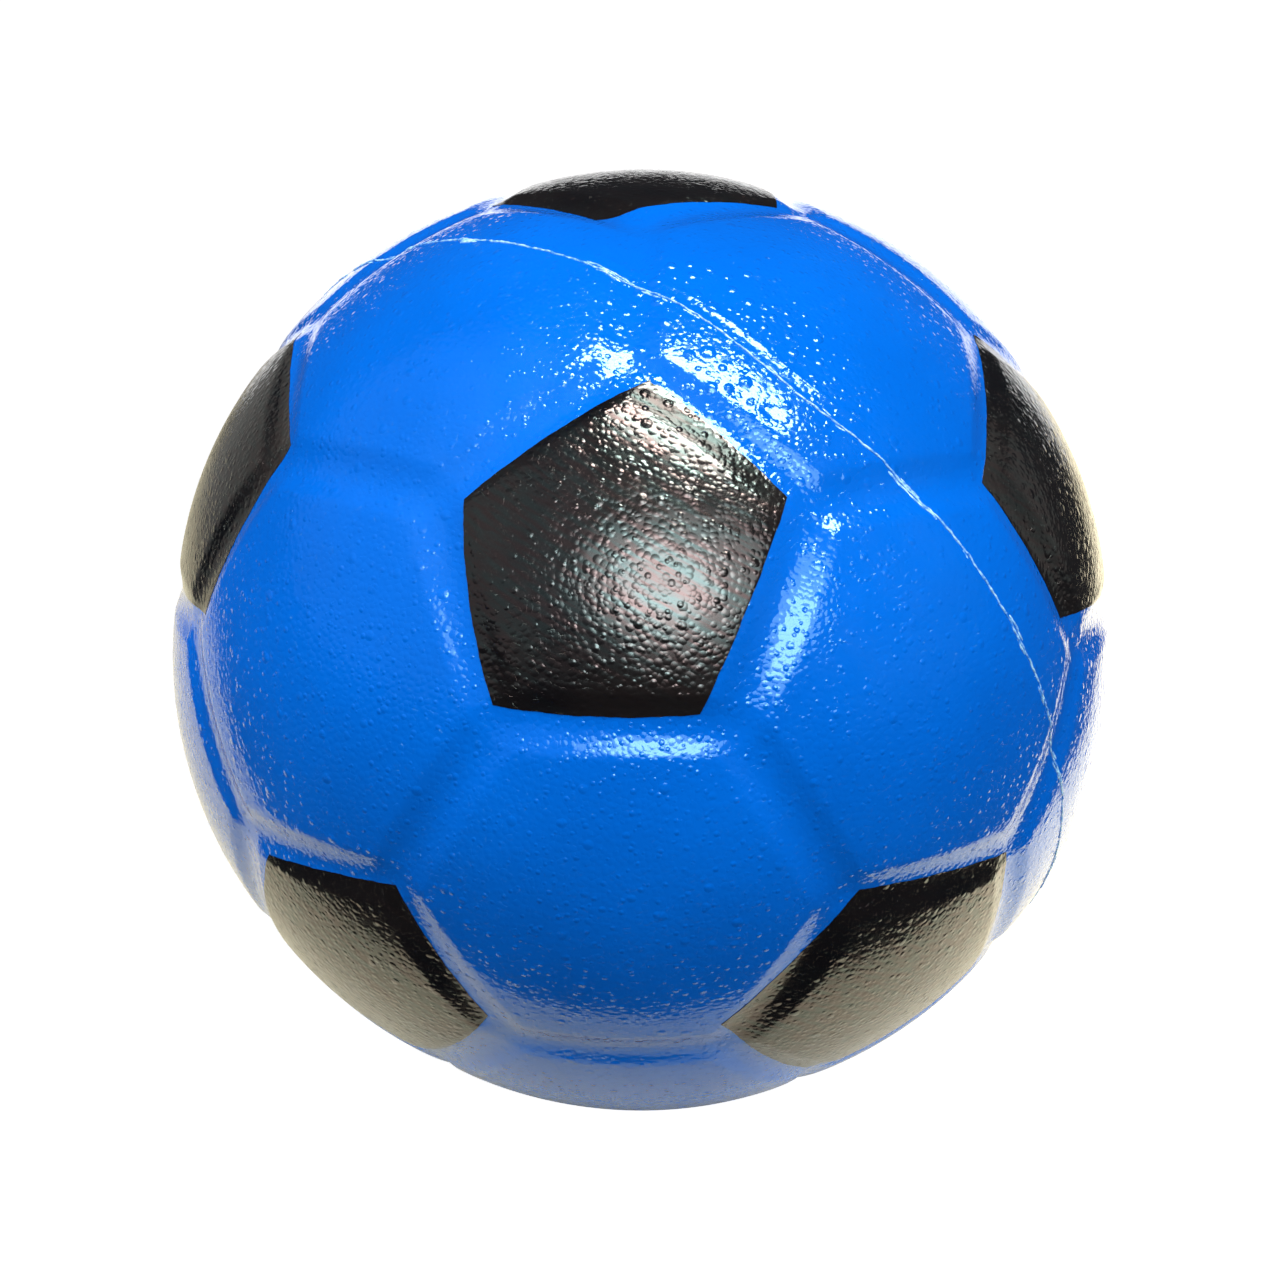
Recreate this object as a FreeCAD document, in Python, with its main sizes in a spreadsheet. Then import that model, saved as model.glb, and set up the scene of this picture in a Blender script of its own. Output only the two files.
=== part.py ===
"""Inflatable playground rubber ball, 8.5 inch size, in millimetres.

The ball is a truncated icosahedron: twenty blue hexagon panels and twelve blue pentagon panels of
moulded rubber, each slightly domed, with soft rounded valleys between them. Every pentagon carries a
thin black film that was printed a little off its panel. Below the cover lie a nylon winding and
a butyl bladder, and a self-sealing valve goes through the pentagon at the pole of one mould half.

Frame: the origin is the ball's centre, +Z points up through the centre of the top pentagon, and
-Y is the front, towards an upper-ring pentagon.
"""

import FreeCAD, Part
import math
import os

Vector = FreeCAD.Vector
ORIGIN = Vector(0, 0, 0)
UP = Vector(0, 0, 1)

doc = FreeCAD.newDocument("PlaygroundBall")

# ---------------------------------------------------------------- driving dimensions

# Corner and edge angles of the truncated icosahedron, seen from the ball's centre.
CIRCUMRADIUS_PER_EDGE = math.sqrt(58 + 18 * math.sqrt(5)) / 4
PENTAGON_CORNER = math.degrees(math.asin(0.5 / math.sin(math.pi / 5) / CIRCUMRADIUS_PER_EDGE))
HEXAGON_CORNER = math.degrees(math.asin(1 / CIRCUMRADIUS_PER_EDGE))

# Polar angles of the pentagon and hexagon centres, from the geometry of the icosahedron.
PENTAGON_RING = math.degrees(math.atan(2))
HEXAGON_RING_1 = math.degrees(math.acos(math.sqrt((5 + 2 * math.sqrt(5)) / 15)))
HEXAGON_RING_2 = math.degrees(math.acos(math.sqrt((5 - 2 * math.sqrt(5)) / 15)))

DRIVING = {
    "crown_radius": (108.0, "ball centre to the crown of each panel"),
    "cover_core_radius": (105.6, "inside of the rubber cover"),
    "pentagon_dome_offset": (17.0, "centre of a pentagon's crown sphere, off the ball's centre"),
    "hexagon_dome_offset": (12.0, "centre of a hexagon's crown sphere, off the ball's centre"),
    "valley_radius": (106.1, "ball centre to the bottom of the valleys between panels"),
    "groove_radius": (10.0, "radius of the valley's rounded section"),
    "shoulder_radius": (9.0, "rounding where a panel's crown turns into the valley"),
    "pentagon_corner_angle": (PENTAGON_CORNER, "pentagon axis to its moulded corners"),
    "hexagon_corner_angle": (HEXAGON_CORNER, "hexagon axis to its corners"),
    "film_thickness": (0.15, "black film on the pentagons"),
    "flash_height": (0.45, "parting line flash, proud of the panel"),
    "flash_width": (0.6, "parting line flash, across"),
    "winding_thickness": (0.35, "nylon thread wound on the bladder"),
    "bladder_thickness": (0.55, "butyl bladder"),
    "pyramid_low": (60.0, "lower end of the panel blocks, inside the ball"),
    "pyramid_high": (135.0, "upper end of the panel blocks, outside the ball"),
    "valve_neck_radius": (5.0, "valve seat's neck, where it goes through the wall"),
    "valve_land_recess": (0.5, "neck's end below the panel's crown"),
    "valve_ring_radius": (7.6, "raised ring moulded round the valve, to its middle"),
    "valve_ring_section": (0.8, "section radius of the raised ring"),
    "valve_ring_depth": (0.45, "middle of the ring's section below the crown"),
    "valve_print_hole": (9.2, "round window in the black film at the valve"),
    "valve_flange_radius": (12.0, "flange that bonds the seat inside the bladder"),
    "valve_flange_thickness": (1.6, "flange at its middle"),
    "valve_stem_radius": (5.6, "seat's stem inside the ball"),
    "valve_stem_bottom": (89.5, "ball centre to the stem's inner end"),
    "plug_head_radius": (4.0, "head of the self-sealing plug"),
    "plug_head_thickness": (1.5, "head of the self-sealing plug"),
    "plug_shank_radius": (3.0, "shank of the plug"),
    "plug_bottom": (91.5, "ball centre to the plug's inner end"),
    "plug_clearance": (0.05, "gap round the plug in its seat"),
    "plug_top_recess": (0.6, "plug's face below the panel's crown"),
    "needle_bore_radius": (1.1, "guide bore for the inflation needle"),
    "needle_bore_length": (8.0, "straight guide bore above the sealing slit"),
    "needle_mouth_radius": (1.9, "wide end of the countersunk mouth"),
    "needle_mouth_depth": (0.8, "depth of the countersunk mouth"),
}

sheet = doc.addObject("Spreadsheet::Sheet", "Sizes")
for row, (alias, (value, note)) in enumerate(DRIVING.items(), start=1):
    sheet.set(f"A{row}", f"{value:.6f}")
    sheet.setAlias(f"A{row}", alias)
    sheet.set(f"B{row}", note)
doc.recompute()


def bind(item, **expressions):
    """Ties properties to sheet cells: every word in an expression that is an alias gets its prefix."""
    for name, expression in expressions.items():
        words = expression.split(" ")
        tied = " ".join(f"Sizes.{word}" if word in DRIVING else word for word in words)
        item.setExpression(name.replace("__", "."), tied)


# ---------------------------------------------------------------- directions and frames


def outward(polar, azimuth):
    """Unit vector at a polar angle from +Z and an azimuth from +X, in degrees."""
    tilt = math.radians(polar)
    turn = math.radians(azimuth)
    return Vector(math.sin(tilt) * math.cos(turn), math.sin(tilt) * math.sin(turn), math.cos(tilt))


def facing(direction, towards):
    """Rotation whose local +Z is direction and whose local +X leans towards the second vector."""
    return FreeCAD.Rotation(towards, Vector(), direction, "ZXY")


# Sphere and torus seams are turned to the far side of the ball, away from a panel on local +Z.
SEAM_AWAY = facing(Vector(0, -1, 0), Vector(0, 0, -1))


# ---------------------------------------------------------------- building blocks


def make(kind, name, placement=None, **expressions):
    """A document object of a Part kind, placed and tied to the sheet."""
    item = doc.addObject(f"Part::{kind}", name)
    if placement is not None:
        item.Placement = placement
    bind(item, **expressions)
    return item


def cut(name, base, tool):
    item = doc.addObject("Part::Cut", name)
    item.Base = base
    item.Tool = tool
    return item


def fuse(name, shapes):
    item = doc.addObject("Part::MultiFuse", name)
    item.Shapes = shapes
    return item


def common(name, shapes):
    item = doc.addObject("Part::MultiCommon", name)
    item.Shapes = shapes
    return item


def sphere(name, radius, centre_height="0"):
    """A sphere with its centre on local +Z and its seam on the far side."""
    placement = FreeCAD.Placement(ORIGIN, SEAM_AWAY)
    return make("Sphere", name, placement, Radius=radius, Placement__Base__z=centre_height)


def pyramid(name, sides, corner_angle):
    """A frustum on local +Z whose sides are planes through the ball's centre, with a corner at +X."""
    sections = []
    for level in ("pyramid_low", "pyramid_high"):
        outline = make(
            "RegularPolygon",
            f"{name}_{level}",
            Circumradius=f"{level} * tan( {corner_angle} )",
            Placement__Base__z=level,
        )
        outline.Polygon = sides
        sections.append(outline)
    solid = make("Loft", name)
    solid.Sections = sections
    solid.Solid = True
    solid.Ruled = True
    return solid


def valley_torus(name, sides, corner, side, grow):
    """The round valley along one side of a panel, on that side's great circle."""
    azimuth = (side + 0.5) * 360 / sides
    half = math.atan(math.tan(math.radians(corner)) * math.cos(math.pi / sides))
    middle = outward(math.degrees(half), azimuth)
    along = outward(90, azimuth + 90)
    placement = FreeCAD.Placement(ORIGIN, facing(middle.cross(along), -middle))
    return make(
        "Torus",
        name,
        placement,
        Radius1="valley_radius + groove_radius",
        Radius2=f"groove_radius - {grow}",
    )


def domed_block(name, sides, corner_angle, dome_offset, grow="0"):
    """A panel's block: domed crown, valleys on all sides, rounded shoulders. grow thickens it."""
    sector = pyramid(f"{name}_sector", sides, corner_angle)
    crown_size = f"crown_radius - {dome_offset} + {grow}"
    crown = sphere(f"{name}_crown", crown_size, centre_height=dome_offset)
    block = common(f"{name}_raw", [sector, crown])
    corner = DRIVING[corner_angle][0]
    for side in range(sides):
        torus = valley_torus(f"{name}_valley_{side}", sides, corner, side, grow)
        block = cut(f"{name}_cut_{side}", block, torus)
    doc.recompute()
    dome = next(face for face in block.Shape.Faces if isinstance(face.Surface, Part.Sphere))
    rounding = sheet.get("shoulder_radius")
    rounded = doc.addObject("Part::Fillet", name)
    rounded.Base = block
    rounded.Edges = [
        (number, rounding, rounding)
        for number, edge in enumerate(block.Shape.Edges, start=1)
        if any(edge.isSame(rim) for rim in dome.Edges)
    ]
    return rounded


cover_core = sphere("cover_core", "cover_core_radius")
hexagon_block = domed_block("hexagon_block", 6, "hexagon_corner_angle", "hexagon_dome_offset")
hexagon_flash_block = domed_block(
    "hexagon_flash_block", 6, "hexagon_corner_angle", "hexagon_dome_offset", "flash_height"
)
pentagon_block = domed_block("pentagon_block", 5, "pentagon_corner_angle", "pentagon_dome_offset")
pentagon_film_block = domed_block(
    "pentagon_film_block", 5, "pentagon_corner_angle", "pentagon_dome_offset", "film_thickness"
)
pentagon_skin = cut("pentagon_skin", pentagon_film_block, pentagon_block)

# ---------------------------------------------------------------- where the panels are

# Pentagon name: polar angle and azimuth of its centre.
PENTAGONS = {
    "top": (0, -90),
    "upper_front": (PENTAGON_RING, -90),
    "upper_right": (PENTAGON_RING, -18),
    "upper_rear_right": (PENTAGON_RING, 54),
    "upper_rear_left": (PENTAGON_RING, 126),
    "upper_left": (PENTAGON_RING, 198),
    "lower_front_left": (180 - PENTAGON_RING, -126),
    "lower_front_right": (180 - PENTAGON_RING, -54),
    "lower_right": (180 - PENTAGON_RING, 18),
    "lower_rear": (180 - PENTAGON_RING, 90),
    "lower_left": (180 - PENTAGON_RING, 162),
    "bottom": (180, -90),
}

# Corners of each print, as (turn, reach) in degrees round its pentagon's axis. The turn runs
# anticlockwise seen from outside, from local +X. The prints are put on by hand, so no two sit alike.
PRINT_CORNERS = {
    "top": ((-15, 19.4), (64, 17.0), (136, 18.0), (208, 18.2), (284, 18.8)),
    "upper_front": ((-7, 19.1), (70, 16.9), (140, 19.3), (208.5, 17.2), (293, 17.7)),
    "upper_right": ((-3.5, 19.9), (73, 20.8), (129.5, 18.7), (215, 17.8), (287, 17.8)),
    "upper_rear_right": ((4, 18.6), (75, 17.8), (147, 18.4), (218, 18.9), (291, 17.9)),
    "upper_rear_left": ((-6, 17.7), (64, 18.8), (139, 18.1), (212, 17.6), (283, 18.6)),
    "upper_left": ((8, 18.0), (80, 17.6), (152, 17.8), (228, 20.6), (294, 20.6)),
    "lower_front_left": ((4, 17.5), (81, 17.8), (143, 19.7), (208, 15.9), (288, 18.0)),
    "lower_front_right": ((-10, 18.3), (66, 18.0), (142.5, 19.4), (210.5, 19.5), (275, 21.1)),
    "lower_right": ((-2, 18.9), (71, 17.5), (144, 18.2), (213, 18.8), (287, 17.6)),
    "lower_rear": ((-8, 18.2), (62, 17.9), (137, 18.9), (207, 17.7), (281, 18.4)),
    "lower_left": ((3, 17.6), (73, 18.7), (146, 18.3), (220, 17.9), (292, 18.8)),
    "bottom": ((9, 18.4), (82, 18.0), (151, 17.7), (226, 18.7), (297, 18.1)),
}
VALVE_PENTAGON = "upper_rear_right"

# Hexagon ring: polar angle, azimuth of its first panel, and the pole that its local +X faces.
HEXAGON_RINGS = {
    "crown": (HEXAGON_RING_1, -54, UP),
    "upper": (HEXAGON_RING_2, -54, -UP),
    "lower": (180 - HEXAGON_RING_2, -90, UP),
    "base": (180 - HEXAGON_RING_1, -90, -UP),
}
PANELS_PER_RING = 5
RING_STEP = 360 / PANELS_PER_RING

# The mould parts on the great circle round the valve's axis.
VALVE_AXIS = outward(*PENTAGONS[VALVE_PENTAGON])


def pentagon_frame(name):
    """A pentagon's rotation: local +X faces a neighbour, up in the upper ring and down below."""
    polar, azimuth = PENTAGONS[name]
    if polar in (0, 180):
        return facing(outward(polar, azimuth), outward(90, azimuth + polar))
    return facing(outward(polar, azimuth), UP if polar < 90 else -UP)


# ---------------------------------------------------------------- cover panels

parts = {}


def keep(node, item, rotation=None):
    """Names a finished sub-part and puts it in its place on the ball."""
    item.Label = node
    if rotation is not None:
        item.Placement = FreeCAD.Placement(ORIGIN, rotation)
    parts[node] = item


HEXAGON_EDGE_MIDDLE = math.degrees(
    math.atan(math.tan(math.radians(HEXAGON_CORNER)) * math.cos(math.pi / 6))
)


def crosses_parting(direction):
    """Whether the mould's parting line runs over the hexagon with this centre."""
    return abs(90 - math.degrees(direction.getAngle(VALVE_AXIS))) < HEXAGON_EDGE_MIDDLE


def flash_on(name, rotation):
    """The thin raised flash of the parting line on one hexagon, in the panel's own frame."""
    axis = rotation.inverted().multVec(VALVE_AXIS)
    turned = facing(axis, Vector(0, 0, -1))
    disc = make(
        "Cylinder",
        f"{name}_parting_disc",
        FreeCAD.Placement(ORIGIN, turned),
        Radius="pyramid_high",
        Height="flash_width",
    )
    bind(
        disc,
        Placement__Base__x=f"{-axis.x:.9f} * flash_width / 2",
        Placement__Base__y=f"{-axis.y:.9f} * flash_width / 2",
        Placement__Base__z=f"{-axis.z:.9f} * flash_width / 2",
    )
    return common(f"{name}_flash", [hexagon_flash_block, disc])


# A hexagon's corners lie 30 degrees to each side of the pentagon that its local +X faces.
TO_CORNER = FreeCAD.Rotation(UP, 30)

for ring, (polar, first_azimuth, pole) in HEXAGON_RINGS.items():
    for index in range(PANELS_PER_RING):
        node = f"hexagon_panel_{ring}_{index + 1}"
        direction = outward(polar, first_azimuth + index * RING_STEP)
        rotation = facing(direction, pole).multiply(TO_CORNER)
        block = hexagon_block
        if crosses_parting(direction):
            block = fuse(f"{node}_block", [hexagon_block, flash_on(node, rotation)])
        keep(node, cut(node, block, cover_core), rotation)


# ---------------------------------------------------------------- valve, built on its own local +Z


def rod(name, radius, bottom, top):
    """A cylinder on local +Z between two heights."""
    return make("Cylinder", name, Radius=radius, Height=f"{top} - {bottom}", Placement__Base__z=bottom)


valve_rotation = pentagon_frame(VALVE_PENTAGON)
plug_top = "( crown_radius - plug_top_recess )"
head_bottom = "( crown_radius - plug_top_recess - plug_head_thickness )"
seat_top = "( crown_radius - valve_land_recess )"
bladder_inside = "( cover_core_radius - winding_thickness - bladder_thickness )"
flange_bottom = f"( {bladder_inside} - valve_flange_thickness )"

# The seat: a flange inside the bladder, a stem into the ball and a neck out through the wall.
flange = common(
    "valve_flange",
    [
        rod("valve_flange_disc", "valve_flange_radius", flange_bottom, "crown_radius"),
        sphere("valve_flange_face", bladder_inside),
    ],
)
seat_solid = fuse(
    "valve_seat_solid",
    [
        flange,
        rod("valve_stem", "valve_stem_radius", "valve_stem_bottom", flange_bottom),
        rod("valve_neck", "valve_neck_radius", flange_bottom, seat_top),
    ],
)
head_room = "( plug_head_radius + plug_clearance )"
shank_room = "( plug_shank_radius + plug_clearance )"
plug_space = fuse(
    "valve_plug_space",
    [
        rod("valve_head_space", head_room, head_bottom, "pyramid_high"),
        rod("valve_shank_space", shank_room, "pyramid_low", "pyramid_high"),
    ],
)
keep("valve_seat", cut("valve_seat", seat_solid, plug_space), valve_rotation)

# The plug: a flat head and a shank, with a countersunk guide bore that ends above the sealing slit.
plug_solid = fuse(
    "valve_plug_solid",
    [
        rod("plug_head", "plug_head_radius", head_bottom, plug_top),
        rod("plug_shank", "plug_shank_radius", "plug_bottom", head_bottom),
    ],
)
mouth = make(
    "Cone",
    "needle_mouth",
    Radius1="needle_bore_radius",
    Radius2="needle_mouth_radius",
    Height="needle_mouth_depth",
    Placement__Base__z="crown_radius - plug_top_recess - needle_mouth_depth",
)
needle_bottom = f"( {plug_top} - needle_mouth_depth - needle_bore_length )"
needle_space = fuse(
    "needle_space",
    [mouth, rod("needle_bore", "needle_bore_radius", needle_bottom, f"( {plug_top} - needle_mouth_depth )")],
)
keep("valve_plug", cut("valve_plug", plug_solid, needle_space), valve_rotation)

# ---------------------------------------------------------------- pentagon panels and their prints

neck_hole = rod("valve_neck_hole", "valve_neck_radius", "pyramid_low", "pyramid_high")
print_window = rod("valve_print_window", "valve_print_hole", "pyramid_low", "pyramid_high")
valve_ring = make(
    "Torus",
    "valve_ring",
    Radius1="valve_ring_radius",
    Radius2="valve_ring_section",
    Placement__Base__z="crown_radius - valve_ring_depth",
)


def print_outline(name, corners):
    """A frustum round a print: planes through the ball's centre join its corners."""
    sections = []
    for level in ("pyramid_low", "pyramid_high"):
        height = sheet.get(level)
        outline = doc.addObject("Part::Polygon", f"{name}_{level}")
        outline.Nodes = [
            outward(reach, turn) * (height / math.cos(math.radians(reach))) for turn, reach in corners
        ]
        outline.Close = True
        sections.append(outline)
    solid = make("Loft", name)
    solid.Sections = sections
    solid.Solid = True
    solid.Ruled = True
    return solid


for place in PENTAGONS:
    panel_node = f"pentagon_panel_{place}"
    print_node = f"pentagon_print_{place}"
    rotation = pentagon_frame(place)
    outline = print_outline(f"{print_node}_outline", PRINT_CORNERS[place])
    panel = cut(panel_node, pentagon_block, cover_core)
    film = common(print_node, [pentagon_skin, outline])
    if place == VALVE_PENTAGON:
        panel = cut(f"{panel_node}_valve", fuse(f"{panel_node}_ring", [panel, valve_ring]), neck_hole)
        film = cut(f"{print_node}_valve", film, print_window)
    keep(panel_node, panel, rotation)
    keep(print_node, film, rotation)

# ---------------------------------------------------------------- sealed layers under the cover


def shell(node, outer, inner):
    """A closed spherical layer with the hole for the valve's neck."""
    hollow = cut(f"{node}_hollow", sphere(f"{node}_outside", outer), sphere(f"{node}_inside", inner))
    keep(node, cut(node, hollow, neck_hole), valve_rotation)


shell("nylon_winding", "cover_core_radius", "cover_core_radius - winding_thickness")
shell("butyl_bladder", "cover_core_radius - winding_thickness", bladder_inside)

# ---------------------------------------------------------------- check and write

doc.recompute()

failed = [item.Name for item in doc.Objects if {"Invalid", "Error"} & set(item.State)]
if failed:
    raise RuntimeError(f"failed objects: {failed}")
for node, item in parts.items():
    if item.Shape.isNull() or not item.Shape.isValid() or len(item.Shape.Solids) != 1:
        raise RuntimeError(f"{node} is not one valid solid")

os.makedirs("parts", exist_ok=True)
for node, item in parts.items():
    item.Shape.exportStep(f"parts/{node}.step")
print(f"{len(parts)} sub-parts written")
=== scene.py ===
"""Looks of the playground rubber ball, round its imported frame.

Every cover panel is a closed mesh of its own, whose outer face follows one height function: a dome
on each panel, soft valleys along the seams, a little unevenness, a step beside the mould's parting
line, two dents and a ring round the valve. The black prints, the large blisters and the mould's
flash are draped on the same surface, so nothing gapes or cuts through. The smallest beads are in
the materials.
"""

import math

import bpy
import numpy as np
from mathutils import Matrix, Vector


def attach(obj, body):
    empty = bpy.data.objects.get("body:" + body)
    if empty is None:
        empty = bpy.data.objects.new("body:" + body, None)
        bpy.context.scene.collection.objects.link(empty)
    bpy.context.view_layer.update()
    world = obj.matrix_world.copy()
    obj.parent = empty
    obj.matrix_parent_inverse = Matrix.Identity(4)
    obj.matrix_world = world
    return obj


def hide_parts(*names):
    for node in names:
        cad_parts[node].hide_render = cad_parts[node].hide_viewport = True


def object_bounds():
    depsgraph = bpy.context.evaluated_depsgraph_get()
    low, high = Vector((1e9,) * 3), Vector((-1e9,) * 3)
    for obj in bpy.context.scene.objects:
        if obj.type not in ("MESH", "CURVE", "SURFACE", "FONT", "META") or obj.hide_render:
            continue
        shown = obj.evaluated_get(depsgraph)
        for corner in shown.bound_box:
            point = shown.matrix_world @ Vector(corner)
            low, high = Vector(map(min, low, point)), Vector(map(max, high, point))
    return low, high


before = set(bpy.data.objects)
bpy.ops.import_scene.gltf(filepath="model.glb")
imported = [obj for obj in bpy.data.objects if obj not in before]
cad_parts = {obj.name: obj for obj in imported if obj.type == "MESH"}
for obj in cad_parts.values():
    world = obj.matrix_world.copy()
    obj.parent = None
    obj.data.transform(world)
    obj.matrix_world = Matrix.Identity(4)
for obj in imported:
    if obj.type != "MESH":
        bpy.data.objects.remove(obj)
cad_box = [list(corner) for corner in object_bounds()]

MM = 0.001
BALL = "ball"

# ---------------------------------------------------------------- sizes, in millimetres

# Ball's centre to the crown of each panel, and to the inside of the cover.
CROWN = 108.0
CORE = 105.6
# A panel's dome is part of a sphere whose centre lies this far out on the panel's axis.
PENTAGON_DOME = 17.0
HEXAGON_DOME = 12.0
# Valleys: distance of their bottom from the ball's centre, radius of their round section and slope
# past it, rounding of the shoulders, and how far from a seam its two domes still lean to each other.
VALLEY = 106.1
GROOVE = 10.0
GROOVE_SLOPE = 4
SHOULDER_BLEND = 1.1
SEAM_FADE = 4.0
# Slow unevenness of the skin, as waves: their seed and number, least and greatest rate in radians
# per ball radius, height, the rate at which the height has halved, gain, and greatest total height.
WAVE_SEED, WAVE_COUNT = 7, 26
WAVE_RATES = (4, 22)
WAVE_HEIGHT, WAVE_HALVED = 0.10, 6
UNEVEN_GAIN, UNEVEN_LIMIT = 1.6, 0.175
# The black film: above the skin, below it, and how far its edge wanders. Its wandering is a sum of
# waves, each given as half waves along one side.
FILM = 0.10
FILM_SINK = 0.03
RAGGED = 0.07
RAGGED_SEED, RAGGED_WAVES = 11, (7, 16, 25, 34)
# The flash: proud of the skin, across, below the skin, and points along the circle and round it.
FLASH_HEIGHT = 0.30
FLASH_WIDTH = 0.42
FLASH_ROOT = 0.12
FLASH_STEPS = 2400
FLASH_SIDES = 8
# Waves round the whole circle that make its size, its place and where it is torn off.
ROUGH_WAVES, ROUGH_GRAIN = (61, 97, 161, 233, 331, 467), 0.25
WANDER_WAVES, WANDER = (7, 13, 23, 41, 83, 127, 211), 0.16
TORN_WAVES = (11, 19, 37, 59)
# Seed of its waves, shift from the parting line in mm, and how much of the circle it shows on.
FLASH_STRANDS = ((3, 0.0, 1.5), (8, -0.55, 0.30), (5, 0.6, 0.20))
# Angles round the valve's axis, in degrees, and lengths in mm: where the parting line strays from
# its plane, where the mould's halves stand a step apart, and where a lump of flash was left.
STRAY_ANGLE, STRAY_REACH, STRAY_SIZE = 39, 11, -2.9
STEP_ANGLE, STEP_REACH, STEP_SQUARENESS = 31, 19, 6
STEP_SUNK, STEP_LIP, STEP_EDGE, LIP_PLACE, LIP_WIDTH = 0.12, 0.15, 0.4, 3.2, 0.9
LUMP_ANGLE, LUMP_REACH, LUMP_SIZE = -5, 0.9, 2.2
# Large blisters stand together in one patch: its polar angle and azimuth in degrees, its radius,
# how many there are and how far apart at least, their least and greatest radius, their greatest
# height, and by what part they shrink towards the patch's edge.
BLISTER_PATCH = (40, -77)
BLISTER_REACH, BLISTER_COUNT, BLISTER_GAP = 22, 70, 3.2
BLISTER_SMALL, BLISTER_LARGE, BLISTER_HEIGHT, BLISTER_SHRINK = 0.8, 1.9, 0.38, 0.35
# Seed of their places, places tried for each, and rings and sides of each one's mesh.
BLISTER_SEED, BLISTER_TRIES = 21, 40
BLISTER_LEVELS, BLISTER_SIDES = (0.35, 0.6, 0.8, 0.93, 1.0), 16
# Shallow dents: polar angle and azimuth in degrees, radius and depth in mm.
DENTS = ((46.6, -74.8, 3.6, 0.30), (48.8, -71.0, 3.2, 0.26))
# Part of a dent's radius at which it is still about a third of its depth.
DENT_SPREAD = 0.6
# At the valve: hole for the neck, raised ring, and round window in the print.
NECK = 5.0
RING_RADIUS = 7.6
RING_SECTION = 0.8
RING_HEIGHT = 0.38
PRINT_WINDOW = 9.2

# Steps of the meshes from a panel's middle to its rim. The valve's panel has them from its hole,
# finer over the first part of the way, and its print has them from its window.
GRID = 48
VALVE_FINE_PART, VALVE_FINE_STEPS, VALVE_COARSE_STEPS = 0.22, 31, 34
WINDOW_STEPS = 36
# Radians between the points that give the skin's slope, and the least cosine between a face and a
# corner's normal for the corner to be shaded round.
SLOPE_STEP = 0.0016
ROUND_LIMIT = 0.8

# ---------------------------------------------------------------- directions

CIRCUMRADIUS_PER_EDGE = math.sqrt(58 + 18 * math.sqrt(5)) / 4
PENTAGON_CORNER = math.degrees(math.asin(0.5 / math.sin(math.pi / 5) / CIRCUMRADIUS_PER_EDGE))
HEXAGON_CORNER = math.degrees(math.asin(1 / CIRCUMRADIUS_PER_EDGE))
PENTAGON_RING = math.degrees(math.atan(2))
HEXAGON_RING_1 = math.degrees(math.acos(math.sqrt((5 + 2 * math.sqrt(5)) / 15)))
HEXAGON_RING_2 = math.degrees(math.acos(math.sqrt((5 - 2 * math.sqrt(5)) / 15)))

UP = np.array([0.0, 0.0, 1.0])


def unit(v):
    return v / np.linalg.norm(v, axis=-1, keepdims=True)


def outward(polar, azimuth):
    tilt, turn = math.radians(polar), math.radians(azimuth)
    return np.array(
        [math.sin(tilt) * math.cos(turn), math.sin(tilt) * math.sin(turn), math.cos(tilt)]
    )


def facing(direction, towards):
    """3x3 matrix whose columns are local X, Y, Z: Z is direction and X leans towards the other."""
    x = unit(towards - (towards @ direction) * direction)
    return np.column_stack([x, np.cross(direction, x), direction])


# Polar angle and azimuth of each pentagon's centre.
PENTAGONS = {
    "top": (0, -90),
    "upper_front": (PENTAGON_RING, -90),
    "upper_right": (PENTAGON_RING, -18),
    "upper_rear_right": (PENTAGON_RING, 54),
    "upper_rear_left": (PENTAGON_RING, 126),
    "upper_left": (PENTAGON_RING, 198),
    "lower_front_left": (180 - PENTAGON_RING, -126),
    "lower_front_right": (180 - PENTAGON_RING, -54),
    "lower_right": (180 - PENTAGON_RING, 18),
    "lower_rear": (180 - PENTAGON_RING, 90),
    "lower_left": (180 - PENTAGON_RING, 162),
    "bottom": (180, -90),
}
VALVE_PENTAGON = "upper_rear_right"
VALVE_AXIS = outward(*PENTAGONS[VALVE_PENTAGON])
# Columns: two directions in the mould's parting plane, and the valve's axis square to it.
PARTING = facing(VALVE_AXIS, UP)

# Corners of each print, as (turn, reach) in degrees round its pentagon's centre. The turn runs
# anticlockwise seen from outside, from the side nearer the pole. No two prints sit alike.
PRINT_CORNERS = {
    "top": ((-15, 19.4), (64, 17.0), (136, 18.0), (208, 18.2), (284, 18.8)),
    "upper_front": ((-7, 19.1), (70, 16.9), (140, 19.3), (208.5, 17.2), (293, 17.7)),
    "upper_right": ((-3.5, 19.9), (73, 20.8), (129.5, 18.7), (215, 17.8), (287, 17.8)),
    "upper_rear_right": ((4, 18.6), (75, 17.8), (147, 18.4), (218, 18.9), (291, 17.9)),
    "upper_rear_left": ((-6, 17.7), (64, 18.8), (139, 18.1), (212, 17.6), (283, 18.6)),
    "upper_left": ((8, 18.0), (80, 17.6), (152, 17.8), (228, 20.6), (294, 20.6)),
    "lower_front_left": ((4, 17.5), (81, 17.8), (143, 19.7), (208, 15.9), (288, 18.0)),
    "lower_front_right": ((-10, 18.3), (66, 18.0), (142.5, 19.4), (210.5, 19.5), (275, 21.1)),
    "lower_right": ((-2, 18.9), (71, 17.5), (144, 18.2), (213, 18.8), (287, 17.6)),
    "lower_rear": ((-8, 18.2), (62, 17.9), (137, 18.9), (207, 17.7), (281, 18.4)),
    "lower_left": ((3, 17.6), (73, 18.7), (146, 18.3), (220, 17.9), (292, 18.8)),
    "bottom": ((9, 18.4), (82, 18.0), (151, 17.7), (226, 18.7), (297, 18.1)),
}
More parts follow.
